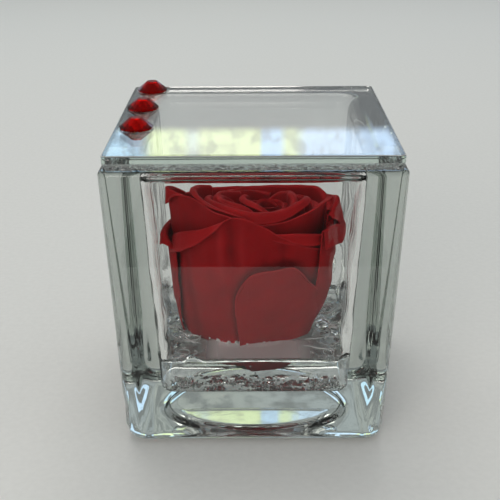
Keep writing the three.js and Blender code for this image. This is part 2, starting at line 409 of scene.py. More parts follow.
# %% [markdown]
# ## Ripples and folds in the glass
# The plunger is cooler than the glass and leaves the inner walls faintly rippled, most of all at the sides
# and in the rounded corners, where the glass chilled last. The mould's foot leaves soft upright folds near
# its own corners. Both are what breaks up the light and dark bands in a real cube. A bump in the material
# would be cheaper, but it isn't part of the shape, so the verts are moved.

# %% Ripples and folds in the glass
RIPPLE_WIDTH, RIPPLE_HEIGHT, RIPPLE_DEPTH = 3.6, 16, 0.17
FOLD_WIDTH, FOLD_HEIGHT, FOLD_DEPTH, FOLD_TOP = 2.3, 9, 0.5, 17
SIDE_MATT = 0.1


def walked_round(x, y, half):
    """How far a point lies round the square from the middle of the front, in mm."""
    return math.atan2(x, -y) * 4 * half / math.pi


def rippled(x, y, z, half):
    """A point of the inner wall, pushed in or out by the ripples."""
    across, along = walked_round(x, y, half) / RIPPLE_WIDTH, z / RIPPLE_HEIGHT
    streak = wave(across, along, 3.7) + 0.5 * wave(across * 2.3, along * 2.6, 8.1)
    in_corner = smooth(0.35, 0.9, min(abs(x), abs(y)) / half)
    at_side = smooth(0.75, 0.95, abs(x) / half)
    low = 1 - smooth(FLOOR_Z, CUBE_HEIGHT, z)
    depth = RIPPLE_DEPTH * (0.05 + 0.7 * in_corner + 0.9 * at_side) * (0.6 + low)
    push = 1 + depth * streak / half
    return x * push, y * push


def folded(x, y, z, half):
    """A point low on the outer wall, drawn in by the folds near the corners."""
    fold = wave(walked_round(x, y, half) / FOLD_WIDTH, z / FOLD_HEIGHT, 5.3)
    in_corner = smooth(0.5, 0.9, min(abs(x), abs(y)) / half)
    depth = FOLD_DEPTH * in_corner * smooth(2, 6, z) * smooth(FOLD_TOP, 8, z)
    push = 1 + depth * (fold - 0.4) / half
    return x * push, y * push


def cube_point(column, level):
    half, corner, z = level["half"], level["corner"], level["z"]
    x, y = square_ring_point(column, CUBE_FLATS, CUBE_ARCS, half, corner, level.get("roundness", 0))
    if level.get("ripple"):
        x, y = rippled(x, y, z, half)
    elif half > RECESS_RADIUS + 3 and 0.5 < z < FOLD_TOP:
        x, y = folded(x, y, z, half)
    return Vector((x, y, z))


def cube_matt(place):
    """The plunger's skin is a little frosted on the side walls and in the corners of the cavity."""
    half, _ = cavity_at(place.z)
    inside = max(abs(place.x), abs(place.y)) < half + 1 and place.z > FLOOR_Z + FLOOR_FILLET
    return SIDE_MATT * smooth(0.86, 0.96, abs(place.x) / half) if inside else 0


def make_glass_cube():
    bm = grow_rings(CUBE_LEVELS, 4 * (CUBE_FLATS + CUBE_ARCS), cube_point)
    set_matt(bm, cube_matt)
    return finish_piece(bm, "pressed_glass_cube", "glass_cube", "clear_glass", PRESSED_GLASS)


glass_cube = make_glass_cube()
print("glass cube:", len(glass_cube.data.polygons), "faces")

# %% [markdown]
# ## The lid
# The lid is window glass, scored and snapped to size. Its faces are perfectly flat, and its upper arris was
# rubbed down, so it is milky. The snapped edge is smooth in its upper part, but along its lower corner the
# break ran rough and left small shells, which flash like a string of crystals. A bump would be cheaper, but
# it would leave the edge's outline straight. So they are modelled: the edge has many narrow columns, the rows
# in that band are pushed in and out by noise, and its faces are shaded flat and a little duller.

# %% The lid
LID_HALF, LID_THICKNESS, LID_CORNER, LID_ARRIS, LID_GAP = 38.85, 4, 1.6, 0.35, 0.15
LID_LOW = CUBE_HEIGHT + LID_GAP
LID_TOP = LID_LOW + LID_THICKNESS
LID_FLATS, LID_ARCS = 150, 6
SHELL_START, SHELL_BAND, SHELL_STEPS = 0.2, 1.7, 8
SHELL_WIDTH, SHELL_HEIGHT, SHELL_DEPTH = 1.1, 0.5, 0.7
ARRIS_MATT, SIDE_EDGE_MATT, FRONT_EDGE_MATT = 0.29, 0.24, 0.05
SHARP_EDGE = math.radians(28)


def lid_levels():
    """From the middle of the underside up the edge to the middle of the top."""
    inner, arris = LID_HALF - LID_ARRIS, LID_CORNER - LID_ARRIS
    levels = [dict(half=inner * s, corner=arris * s, z=LID_LOW) for s in (0.05, 0.4, 0.8, 0.97)]
    levels.append(dict(half=inner - 0.5, corner=arris, z=LID_LOW, rough=0.2))
    levels.append(dict(half=inner, corner=arris, z=LID_LOW, rough=0.9))
    for k in range(SHELL_STEPS + 1):
        share = k / SHELL_STEPS
        z = LID_LOW + SHELL_START + SHELL_BAND * share
        levels.append(dict(half=LID_HALF, corner=LID_CORNER, z=z, rough=1 - share**2))
    above_band = LID_LOW + SHELL_START + SHELL_BAND + 0.1
    for z in (above_band, LID_TOP - LID_ARRIS - 0.05, LID_TOP - LID_ARRIS):
        levels.append(dict(half=LID_HALF, corner=LID_CORNER, z=z))
    part = 0.3 * LID_ARRIS
    levels.append(dict(half=inner + part, corner=arris + part, z=LID_TOP - part))
    levels += [dict(half=inner * s, corner=arris * s, z=LID_TOP) for s in (1, 0.985, 0.8, 0.4, 0.05)]
    return levels


def lid_point(column, level):
    x, y = square_ring_point(column, LID_FLATS, LID_ARCS, level["half"], level["corner"])
    z = level["z"]
    rough = level.get("rough", 0)
    if rough:
        along = Vector((x / SHELL_WIDTH, y / SHELL_WIDTH, z / SHELL_HEIGHT))
        shells = abs(noise.noise(along)) * 1.5 + 0.35 * abs(noise.noise(along * 2.7))
        push = 1 - SHELL_DEPTH * rough * shells / level["half"]
        x, y = x * push, y * push
        if z > LID_LOW:
            z += 0.5 * rough * noise.noise(along * 1.7 + Vector((5, 1, 2)))
    return Vector((x, y, z))


def lid_matt(place):
    """The rubbed arris is milky, and the snapped edges are a little dull, most of all at the sides."""
    if LID_TOP - LID_ARRIS + 0.01 < place.z < LID_TOP - 0.01:
        return ARRIS_MATT
    at_side, at_front = (smooth(LID_HALF - 0.6, LID_HALF - 0.1, abs(v)) for v in place.xy)
    return max(SIDE_EDGE_MATT * at_side, FRONT_EDGE_MATT * at_front)


def make_lid():
    bm = grow_rings(lid_levels(), 4 * (LID_FLATS + LID_ARCS), lid_point)
    set_matt(bm, lid_matt)
    for edge in bm.edges:
        edge.smooth = edge.calc_face_angle(0) < SHARP_EDGE
    for face in bm.faces:
        middle = face.calc_center_median()
        outside = max(abs(middle.x), abs(middle.y)) > LID_HALF - LID_ARRIS - 0.2
        in_band = outside and middle.z < LID_LOW + SHELL_START + SHELL_BAND + 0.05
        face.material_index = 1 if in_band else 0
        face.smooth = not in_band
    return finish_piece(bm, "float_glass_lid", "lid", "plate_glass", FLOAT_GLASS, SNAPPED_GLASS)


lid = make_lid()
print("lid:", len(lid.data.polygons), "faces")

# %% [markdown]
# ## The rhinestones
# A rhinestone is a small glass cut like a gem, with a flat back that is silvered so that light is thrown
# back out. A cone with bevelled faces would do for its shape, but its points are few, so they are set down
# as verts and the convex hull operator closes them: a thin girdle, a crown of kites and a table. The back is
# a second material, a copper-red silvering. The glass has a red Specular Tint and a low index, which real
# glass hasn't: they keep the pale room out of the facets, so that the stones stay as deep as real ones.

# %% The rhinestones
STONE_RADIUS, STONE_HEIGHT, STONE_GIRDLE, STONE_TABLE = 4.8, 3.07, 0.5, 1.7
STONE_LIFT = 0.03
# the middle of each stone, and how far it is turned, in degrees
STONE_PLACES = {"front": (-32.6, -11.9, 3), "middle": (-33.1, 10, -4), "back": (-32.6, 33.5, 12)}
# the rings of points: how many, radius, height, and an offset in steps
STONE_RINGS = (
    (16, STONE_RADIUS * 0.97, 0, 0),
    (16, STONE_RADIUS, STONE_GIRDLE, 0),
    (8, STONE_RADIUS * 0.72, STONE_HEIGHT * 0.53, 0.5),
    (8, STONE_TABLE, STONE_HEIGHT, 0),
)
STONE_GLASS, _, _ = new_material("red_cut_glass", Base_Color=linear("b00c06"), Transmission_Weight=1,
                                 IOR=1.4, Specular_Tint=linear("c83830"), Roughness=0)
STONE_BACK, _, _ = new_material("silvered_back", Base_Color=linear("d8684c"), Metallic=1, Roughness=0.1)


def make_stone(place):
    x, y, turned = STONE_PLACES[place]
    bm = bmesh.new()
    for count, radius, z, offset in STONE_RINGS:
        for k in range(count):
            turn = math.radians(turned) + (k + offset) * math.tau / count
            bm.verts.new((x + radius * math.cos(turn), y + radius * math.sin(turn), LID_TOP + STONE_LIFT + z))
    bmesh.ops.convex_hull(bm, input=bm.verts)
    bmesh.ops.dissolve_limit(bm, angle_limit=math.radians(0.5), verts=bm.verts, edges=bm.edges)
    bmesh.ops.recalc_face_normals(bm, faces=bm.faces)
    for face in bm.faces:
        face.material_index = 1 if face.normal.z < -0.9 else 0
    return finish_piece(bm, f"rhinestone_{place}", f"gem_{place}", "red_stone", STONE_GLASS, STONE_BACK)


for stone_place in STONE_PLACES:
    stone = make_stone(stone_place)
    print("stone:", stone.name, len(stone.data.polygons), "facets")

# %% [markdown]
# ## The skin of the gel
# The gel was poured in warm round the rose's foot. It wets the glass, so its edge climbs the wall a little,
# and it stands up in a low collar round the rose. In front of the rose it lies flat. At the sides and behind,
# it was pushed about while it set, so it is crumpled and splashed up the glass. A fluid simulation could
# give that, but a height worked out from the distances to the glass and to the rose is quicker and can be
# steered. Where the gel meets the glass, it reaches a hair's breadth into the wall, so that no film of air
# is left between the two.

# %% The skin of the gel
GEL_FRONT_Z, GEL_BACK_Z, GEL_SAG = 24.8, 22.8, 0.35
GEL_BITE = 0.06
GEL_MIDDLE = 1
CLIMB_HEIGHT, CLIMB_WIDTH, SPLASH_HEIGHT = 0.9, 1.6, 9
COLLAR_HEIGHT, COLLAR_WIDTH = 0.6, 1.4
ROSE_X, ROSE_Y = 1.3, 0.5
# how far the rose reaches at the gel's skin, from the back round the left, the front and the right
FOOT_RADII = (19.5, 21, 22.5, 23.6, 19.4, 18.3, 16.4, 15.2, 15.8, 16.8, 18.5, 19.3, 19.5)


def foot_radius(x, y):
    """How far the rose reaches, at the height of the gel's skin, in the direction of a point."""
    place = (math.atan2(x - ROSE_X, ROSE_Y - y) / math.tau + 0.5) * (len(FOOT_RADII) - 1)
    start = min(int(place), len(FOOT_RADII) - 2)
    return mix(FOOT_RADII[start], FOOT_RADII[start + 1], place - start)


def from_rose(x, y):
    """How far a point lies from the rose, or inside it where it is below 0."""
    return math.hypot(x - ROSE_X, y - ROSE_Y) - foot_radius(x, y)


def from_glass(x, y):
    """How far a point of the skin lies from the nearest wall."""
    return FLOOR_HALF - max(abs(x), abs(y))


def gel_height(x, y, room):
    """Height of the gel's skin at a point that has so much room to the glass."""
    level = mix(GEL_FRONT_Z, GEL_BACK_Z, (y + FLOOR_HALF) / (2 * FLOOR_HALF)) - GEL_SAG
    crumpled = min(1, smooth(15, 21, abs(x - GEL_MIDDLE)) + smooth(-4, 8, y))
    splash = SPLASH_HEIGHT * max(0, wave(x / 8, y / 8, 4.4)) * crumpled
    climb = (CLIMB_HEIGHT + splash) * math.exp(-max(room, 0) / CLIMB_WIDTH)
    collar = COLLAR_HEIGHT * math.exp(-((from_rose(x, y) / COLLAR_WIDTH) ** 2))
    swell = 0.2 * wave(x / 9, y / 9, 1.3)
    folds = 1.1 * abs(wave(x / 6, y / 6, 6.2)) + 0.3 * abs(wave(x / 2.5, y / 2.5, 2.9))
    return level + climb + collar + swell + crumpled * (folds - 0.35)


print("gel at the front glass and half way to the rose, mm:",
      [round(gel_height(0, y, from_glass(0, y)), 1) for y in (-26.9, -21)])

# %% [markdown]
# ## The body of the gel
# The gel's skin is grown like the cube's: over the floor, up the wall by the glass, and in over the top to
# the middle, which the rose hides. Low in front, pockets of air were caught between the gel and the floor,
# so the underside is lifted there by noise.

# %% The body of the gel
GEL_RINGS, GEL_WALL_RINGS, GEL_FLOOR_RINGS = 62, 8, 26
POCKET_HEIGHT = 1.7
# a skin's rings lie closer at the glass, and a floor's at the rim
SKIN_SPREAD, FLOOR_SPREAD = 1.15, 0.7


def gel_underside(x, y):
    """Height of the gel's underside. It lies on the glass, but for the pockets in front."""
    there = wave(x / 4.1, y / 2.6, 9.6) + 0.8 * wave(x / 1.5, y / 1.2, 3.1)
    caught = smooth(0.25, 0.6, there) * smooth(-9, -16, y)
    return FLOOR_Z - GEL_BITE + POCKET_HEIGHT * caught


def gel_levels():
    foot = FLOOR_Z + FLOOR_FILLET
    half, corner = (v - FLOOR_FILLET for v in cavity_at(foot))
    levels = []
    for k in range(1, GEL_FLOOR_RINGS + 1):
        share = (k / GEL_FLOOR_RINGS) ** FLOOR_SPREAD
        levels.append(dict(half=half * share, corner=corner * share, part="floor"))
    for level in round_edge(half, corner, foot, FLOOR_FILLET + GEL_BITE, -75, 0, FILLET_STEPS):
        levels.append(dict(level, part="fillet"))
    levels += [dict(share=k / GEL_WALL_RINGS, part="wall") for k in range(1, GEL_WALL_RINGS + 1)]
    levels += [dict(share=(k / GEL_RINGS) ** SKIN_SPREAD, part="skin") for k in range(1, GEL_RINGS)]
    return levels


def gel_point(column, level):
    if level["part"] in ("floor", "fillet"):
        x, y = square_ring_point(column, CUBE_FLATS, CUBE_ARCS, level["half"], level["corner"])
        return Vector((x, y, gel_underside(x, y) if level["part"] == "floor" else level["z"]))
    x, y = square_ring_point(column, CUBE_FLATS, CUBE_ARCS, *cavity_at(GEL_FRONT_Z))
    edge_z = gel_height(x, y, 0)
    if level["part"] == "wall":
        z = mix(FLOOR_Z + FLOOR_FILLET, edge_z, level["share"])
        half, corner = (v + GEL_BITE for v in cavity_at(z))
        x, y = square_ring_point(column, CUBE_FLATS, CUBE_ARCS, half, corner)
        return Vector((*rippled(x, y, z, half), z))
    inwards = 1 - level["share"]
    half, corner = (v + GEL_BITE for v in cavity_at(edge_z))
    x, y = square_ring_point(column, CUBE_FLATS, CUBE_ARCS, half * inwards, corner * inwards)
    return Vector((x, y, gel_height(x, y, half * level["share"])))


gel_mesh = grow_rings(gel_levels(), 4 * (CUBE_FLATS + CUBE_ARCS), gel_point)
print("gel's body:", len(gel_mesh.faces), "faces")

# %% [markdown]
# ## Crumbs and threads
# Broken gel went in first and was not wetted through, so angular little voids lie low in front. A void is a
# hole in the gel: a shaken ball that is part of the gel's own mesh, with its faces turned inwards. Where the
# gel was stirred at the rose's sides as it set, thin curled threads lie on its skin. A curve with a bevel
# would make a thread too, but it would have to be turned into a mesh first, so each is grown ring by ring
# like all the rest. Geometry Nodes could scatter them, but a loop with a seeded draw is easier to read.

# %% Crumbs
CRUMBS, CRUMB_RADII, CRUMB_REACH = 260, (0.25, 0.7), 24.6


def put_ball(bm, ball, place, hole):
    """Moves the verts of a new ball to its place, and returns its faces. A hole has them turned inwards."""
    bmesh.ops.translate(bm, vec=place, verts=ball)
    faces = list({face for vert in ball for face in vert.link_faces})
    if hole:
        bmesh.ops.reverse_faces(bm, faces=faces)
    return faces


def add_crumbs(bm, draw):
    for _ in range(CRUMBS):
        x = draw.choice((draw.uniform(-24, 24), draw.gauss(-21, 2.5), draw.gauss(21, 2.5), draw.gauss(-4, 7)))
        y, z = draw.uniform(-24.6, -19.5), FLOOR_Z + 0.9 + abs(draw.gauss(0, 1.1))
        radius = draw.uniform(*CRUMB_RADII)
        if abs(x) > CRUMB_REACH:
            continue
        crumb = bmesh.ops.create_icosphere(bm, subdivisions=1, radius=radius)["verts"]
        for vert in crumb:
            vert.co *= draw.uniform(0.6, 1.2)
        turned = Matrix.Rotation(draw.uniform(0, 3), 3, (0.5, 0.3, 0.8))
        bmesh.ops.rotate(bm, verts=crumb, matrix=turned)
        put_ball(bm, crumb, (x, y, z), hole=True)


draw = random.Random(11)
print("crumbs in a mm of front:", round(CRUMBS / (2 * CRUMB_REACH), 1))

# %% Threads
THREADS, THREAD_SIDES, THREAD_STEPS, THREAD_STEP = 70, 6, 16, 0.55


def thread_levels(draw):
    """The rings of one thread, which wanders over the skin until it comes to glass or rose."""
    x = GEL_MIDDLE + draw.choice((-1, 1)) * draw.uniform(19, 25)
    y = draw.uniform(-24, 14)
    heading, bend, widest = draw.uniform(0, math.tau), draw.uniform(-0.4, 0.4), draw.uniform(0.14, 0.3)
    levels = []
    for step in range(THREAD_STEPS + 1):
        room = from_glass(x, y)
        if room < 0.6 or from_rose(x, y) < 0.8:
            break
        radius = widest * math.sin(math.pi * (step + 0.5) / (THREAD_STEPS + 1))
        middle = Vector((x, y, gel_height(x, y, room) + 0.4 * radius))
        levels.append(dict(middle=middle, heading=heading, radius=radius))
        x, y = x + THREAD_STEP * math.cos(heading), y + THREAD_STEP * math.sin(heading)
        heading += bend
        bend += draw.uniform(-0.08, 0.08)
    return levels


def thread_point(column, level):
    turn = column * math.tau / THREAD_SIDES
    left = Vector((-math.sin(level["heading"]), math.cos(level["heading"]), 0))
    return level["middle"] + level["radius"] * (left * math.cos(turn) + Vector((0, 0, math.sin(turn))))


def add_threads(bm, draw):
    for _ in range(THREADS):
        levels = thread_levels(draw)
        if len(levels) > 3:
            join_meshes(bm, grow_rings(levels, THREAD_SIDES, thread_point))


print("a thread is up to", THREAD_STEPS * THREAD_STEP, "mm long")

# %% [markdown]
# ## Bubbles and beads
# The gel is full of small bubbles, and round the rose's foot beads of it stand on the skin, where it was
# pressed out between the petals. A bubble is a hole, as a crumb is, and a bead is a ball that sits half in
# the skin. The skin is dull where it dried flat in front of the rose, and beads, threads and half of the
# crumbs are milky, which the matt value gives.

# %% Bubbles and beads
FOOT_BUBBLES, FREE_BUBBLES = 210, 60
BUBBLE_RADII, FREE_RADII = (0.2, 0.6), (0.2, 0.55)
SKIN_MATT = 0.29
OPEN_ROOM = 10


def bubble_places(draw):
    """Place and radius of each bubble and bead, most of them round the rose's foot."""
    for _ in range(FOOT_BUBBLES):
        turn, kind = draw.uniform(0, math.tau), draw.choice(("hole", "bead", "bead"))
        x, y = math.sin(turn), -math.cos(turn)
        reach = foot_radius(ROSE_X + x, ROSE_Y + y) + abs(draw.gauss(0.3, 0.5))
        yield ROSE_X + reach * x, ROSE_Y + reach * y, draw.uniform(*BUBBLE_RADII), kind
    for _ in range(FREE_BUBBLES):
        yield draw.uniform(-24, 24), draw.uniform(-24, 24), draw.uniform(*FREE_RADII), "hole"


def add_bubbles(bm, draw, places):
    for x, y, radius, kind in places:
        if from_rose(x, y) < -0.2:
            continue
        lift = 0.6 * radius if kind == "bead" else -radius - 0.15 - abs(draw.gauss(0, 2.2))
        z = gel_height(x, y, OPEN_ROOM) + lift
        if z < FLOOR_Z + 2.4:
            continue
        ball = bmesh.ops.create_icosphere(bm, subdivisions=2, radius=radius)["verts"]
        for face in put_ball(bm, ball, (x, y, z), hole=kind == "hole"):
            face.smooth = True


def gel_matt(place):
    x, y, z = place
    room = from_glass(x, y)
    bead = from_rose(x, y) < 2 and z > gel_height(x, y, OPEN_ROOM) + 0.12
    thread = room > 0.5 and z > gel_height(x, y, room) + 0.04
    if bead or thread:
        return SKIN_MATT
    if -25 < y < -19 and FLOOR_Z + 0.4 < z < FLOOR_Z + 4:
        return SKIN_MATT * smooth(-0.1, 0.15, noise.noise(place / 1.7))
    on_skin = z > GEL_BACK_Z - 2 and abs(x) < FLOOR_HALF - 1 and y > 1 - FLOOR_HALF
    at_side = smooth(9, 24, abs(x - GEL_MIDDLE))
    return SKIN_MATT * smooth(-9, -15, y) * mix(1, 0.3, at_side) if on_skin else 0


def finish_gel(bm, draw):
    places = list(bubble_places(draw))
    small = bmesh.new()
    add_crumbs(small, draw)
    add_threads(small, draw)
    add_bubbles(small, draw, places)
    join_meshes(bm, small)
    set_matt(bm, gel_matt)
    return finish_piece(bm, "gel_with_bubbles", "gel_bed", "clear_gel", CLEAR_GEL)


gel = finish_gel(gel_mesh, draw)
print("gel with its bubbles:", len(gel.data.polygons), "faces")

# %% [markdown]
# ## The rose petal's finish and its painted shade
# A preserved petal is soft and matt, like suede. Its cells scatter light back at a low angle, which is
# what the sheen gives, and the colour is a little lighter towards the lip. The petal's own UV map runs
# across and along it, so the fine veins run from claw to lip as they grow. Each vert also carries a value
# called fold, which holds painted light and shade: below 0, in the heart's hollows, in a crease's valley
# and under a neighbour's lip, the colour is darkened as painted shade, and above 0, on a crease's ridge
# and at an edge, it is paled as a painted highlight, which at the edge also stands for the thin rim's own
# paler colour. A petal's own pale value is added to it too, and pales the whole petal. An occlusion node
# could find the hollows too, but it can't be steered petal by petal.

# %% The rose petal's finish
VEINS_ACROSS, VEIN_STRETCH = 26, 1.5
# the size of a cell is drawn coarser than the real one, of 0.03 mm, so that it shows
CLOUD_MM, CELL_MM, RELIEF_MM = 6, 0.35, 0.25


def petal_material():
    material, tree, shader = new_material(
        "dyed_rose_petal", Roughness=0.62, Specular_IOR_Level=0.12, Sheen_Weight=0.03, Sheen_Roughness=0.45,
        Sheen_Tint=linear("ff4a44"))
    place = add_node(tree, "ShaderNodeTexCoord")
    on_petal, across_lip = place.outputs["Object"], place.outputs["UV"]
    cloud = add_node(tree, "ShaderNodeTexNoise", Vector=on_petal, Scale=1 / (CLOUD_MM * MM), Detail=3)
    stretch = add_node(tree, "ShaderNodeMapping", Vector=across_lip, Scale=(VEINS_ACROSS, VEIN_STRETCH, 1))
    veins = add_node(tree, "ShaderNodeTexNoise", Vector=stretch.outputs["Vector"], Scale=1, Detail=4)
    cells = add_node(tree, "ShaderNodeTexNoise", Vector=on_petal, Scale=1 / (CELL_MM * MM), Detail=2)
    dye = colour_ramp(tree, cloud.outputs["Fac"], (0.3, "930d14"), (0.7, "b01219"))
    apart = add_node(tree, "ShaderNodeSeparateXYZ", Vector=across_lip)
    lip = add_node(tree, "ShaderNodeMapRange", {"clamp": True}, Value=apart.outputs["Y"], From_Min=0.55)
    vein_share = add_node(tree, "ShaderNodeMath", {"operation": "MULTIPLY"}, _0=veins.outputs["Fac"], _1=0.4)
    light = add_node(tree, "ShaderNodeMath", {"operation": "MULTIPLY_ADD"},
                     _0=lip.outputs["Result"], _1=0.35, _2=vein_share.outputs["Value"])
    colour = add_node(tree, "ShaderNodeMix", {"data_type": "RGBA"}, Factor=light.outputs["Value"],
                      A=dye, B=linear("c01117"))
    # painted light and shade: the fold value darkens the colour in hollows, crease valleys and under lips,
    # and pales it on ridges and edges
    fold = add_node(tree, "ShaderNodeAttribute", {"attribute_name": "fold"})
    painted_shade_share = add_node(tree, "ShaderNodeMapRange", {"clamp": True}, Value=fold.outputs["Fac"],
                      From_Min=0, From_Max=-1, To_Max=0.7)
    # painted shade: the colour is darkened towards a deep red where the fold value is below 0
    painted_shade_mix = add_node(tree, "ShaderNodeMix", {"data_type": "RGBA"}, Factor=painted_shade_share.outputs["Result"],
                    A=colour.outputs["Result"], B=linear("4a070c"))
    pale_and_painted_light_share = add_node(tree, "ShaderNodeMapRange", {"clamp": True}, Value=fold.outputs["Fac"], To_Max=0.6)
    # painted highlight: the colour is paled where the fold value is above 0, which at edges also stands for
    # the rim's own paler colour, and for a pale petal
    pale = add_node(tree, "ShaderNodeMix", {"data_type": "RGBA"}, Factor=pale_and_painted_light_share.outputs["Result"],
                    A=painted_shade_mix.outputs["Result"], B=linear("d8383c"))
    relief = add_node(tree, "ShaderNodeMath", {"operation": "MULTIPLY_ADD"},
                      _0=cells.outputs["Fac"], _1=0.35, _2=veins.outputs["Fac"])
    bump = add_node(tree, "ShaderNodeBump", Height=relief.outputs["Value"], Strength=0.5,
                    Distance=RELIEF_MM * MM)
    feed(tree, shader, dict(Base_Color=pale.outputs["Result"], Normal=bump.outputs["Normal"]))
    return material


ROSE_PETAL = petal_material()
print("petal finish:", ROSE_PETAL.name, len(ROSE_PETAL.node_tree.nodes), "nodes")

# %% [markdown]
# ## The side view of a petal
# A rose petal is a sheet that grows from a narrow claw on the hip, bellies out, and ends in a lip that
# rolls back. All petals are cousins: the innermost one stands nearly straight, the outermost is a wide
# bowl, and any other lies between the two by its rank. So two profiles are drawn, and a petal's own is
# mixed from them. Cloth simulation could give petals as well, but not one that has to match a photo.

# %% The side view of a petal
INNER_PROFILE = ((0.9, 33.5), (2, 36.5), (2.6, 42), (2.8, 48), (2.8, 54), (2.7, 60), (2.6, 66))
OUTER_PROFILE = ((8.9, 15.6), (13, 16.2), (16.6, 21), (20.2, 31), (23.2, 42.5), (25.2, 54), (26.4, 66.5))
HALVINGS = 16


def spline(keys, share):
    """A smooth value through evenly spaced keys, each a list of numbers."""
    last = len(keys) - 1
    place = min(max(share, 0), 1) * last
    start = min(int(place), last - 1)
    t = place - start
    four = (keys[max(start - 1, 0)], keys[start], keys[start + 1], keys[min(start + 2, last)])
    return [
        p * (2 * t**3 - 3 * t**2 + 1) + (q - before) / 2 * (t**3 - 2 * t**2 + t)
        + q * (3 * t**2 - 2 * t**3) + (after - p) / 2 * (t**3 - t**2)
        for before, p, q, after in zip(*four)
    ]


def profile_point(rank, share):
    """Distance from the axis and height on a petal's side profile."""
    points = [[mix(a[0], b[0], rank), mix(a[1], b[1], rank)] for a, b in zip(INNER_PROFILE, OUTER_PROFILE)]
    return Vector(spline(points, share))


def share_at_height(rank, height):
    """The share of the profile that lies under a height, found by halving."""
    low, high = 0.0, 1.0
    for _ in range(HALVINGS):
        middle = (low + high) / 2
        if profile_point(rank, middle).y < height:
            low = middle
        else:
            high = middle
    return high


print("petals half way up, mm from the axis:", [round(profile_point(r, 0.5).x, 1) for r in (0, 0.5, 1)])

# %% [markdown]
# ## The shape of a petal
# The lip is what makes each petal its own, so a petal is told by a few places along its lip: where it is,
# how high it stands, how far it stands off from its neighbours, and how it rolls. Its body may stand off too,
# low and half way up, and creases may run up it. From these, each point is worked out by how far across and
# how far along the petal it lies.

# %% The shape of a petal
HEART_SHIFT = 4
BODY_SHARE, ROLL_SHARE = 0.7, 0.87
CLAW_DEGREES = 20
CREASE_END = 4
RUFFLE_MM = 6


def lip_place(petal, across):
    """The lip at one place: azimuth, stand-off, roll radius, turn and flap, and where the body ends."""
    azimuth, top, stand, roll, turn, flap = spline(petal["lip"], (across + 1) / 2)
    turn = math.radians(max(turn, 1))
    rise = roll * math.sin(min(turn, math.pi / 2)) + flap * max(0, math.cos(turn))
    return azimuth, stand, roll, turn, flap, share_at_height(petal["rank"], top - rise)


def side_point(petal, across, along, lip):
    """Distance from the axis and height of a point: body first, then the roll of the lip, then its flap."""
    _, stand, roll, turn, flap, full = lip
    rank, up = petal["rank"], min(1, along / BODY_SHARE)
    here = profile_point(rank, full * up)
    foot, belly = spline(petal["body"], (across + 1) / 2)
    here.x += spline(((0,), (foot,), (belly,), (stand,)), up)[0]
    if along > BODY_SHARE:
        ahead = (profile_point(rank, full) - profile_point(rank, full - 0.02)).normalized()
        outward = Vector((ahead.y, -ahead.x))
        rolled = turn * min(1, (along - BODY_SHARE) / (ROLL_SHARE - BODY_SHARE))
        here += roll * (ahead * math.sin(rolled) + outward * (1 - math.cos(rolled)))
        out = flap * max(0, along - ROLL_SHARE) / (1 - ROLL_SHARE)
        here += out * (ahead * math.cos(turn) + outward * math.sin(turn))
    return here


# A crease's push also goes into the fold value, so its ridge gets a painted highlight and its valley painted
# shade.
def crease_at(petal, azimuth, height):
    """How far the creases push a place out. Each is azimuth, depth, width, and where it starts and ends."""
    return sum(depth * smooth(width, 0, abs(azimuth - at))
               * smooth(low - CREASE_END, low + CREASE_END, height)
               * smooth(high + CREASE_END, high - CREASE_END, height)
               for at, depth, width, low, high in petal["creases"])


def petal_point(petal, across, along, lip):
    """A point of a petal, across from -1 to 1 and along from 0 at the claw to 1 at the lip, and its fold
    value of painted light and shade.
    """
    up = min(1, along / BODY_SHARE)
    here = side_point(petal, across, along, lip)
    middle, claw_share = petal["azimuth"], min(1, CLAW_DEGREES / petal["half_width"])
    azimuth = middle + (lip[0] - middle) * mix(claw_share, 1, smooth(-0.1, 0.55, up))
    arc = math.radians(azimuth) * max(here.x, 4)
    ripple = Vector((arc / RUFFLE_MM, along * 2.5, petal["seed"] * 7.3))
    ruffle = petal["ruffle"] * along**2
    fold = crease_at(petal, azimuth, here.y)
    radius = here.x + petal["pinwheel"] * across + ruffle * noise.noise(ripple) + fold
    z = here.y + 0.7 * ruffle * noise.noise(ripple + Vector((3, 9, 4)))
    lean = HEART_SHIFT * (1 - petal["rank"]) * (lip[-1] * up) ** 2
    angle = math.radians(azimuth)
    place = Vector((ROSE_X + lean + radius * math.sin(angle), ROSE_Y - radius * math.cos(angle), z))
    # the fold value: the creases' push, the petal's pale value, and the pale edge, painted shade and painted
    # shadow of shade_at
    return place, fold + petal["pale"] + shade_at(petal, across, along, azimuth, z)


print("the body takes", BODY_SHARE, "of a petal, and its roll ends at", ROLL_SHARE)

# %% [markdown]
# ## Painted shade on a petal
# A petal's edge is thin and is drawn paler, partly for the thin rim's own paler colour and partly as a
# painted highlight. The heart's hollows get no light, and get painted shade, and a petal that lies close
# under another's lip gets a painted shadow along it. These are added to the fold value.

# %% Shade on a petal
MM_PER_DEGREE, PAINTED_SHADOW_REACH = 0.39, 2.4
EDGE_PALE_AND_HIGHLIGHT, PAINTED_SHADOW_DEEP = 0.5, 0.9


def edge_distance(lip, azimuth, z):
    """How far a place lies, in mm along the flower's skin, from the lip of the petal over it."""
    here = Vector((azimuth * MM_PER_DEGREE, z))
    nearest = 99
    for a, b in zip(lip, lip[1:]):
        start, end = (Vector((key[0] * MM_PER_DEGREE, key[1])) for key in (a, b))
        share = min(1, max(0, (here - start).dot(end - start) / (end - start).length_squared))
        nearest = min(nearest, (here - start.lerp(end, share)).length)
    return nearest


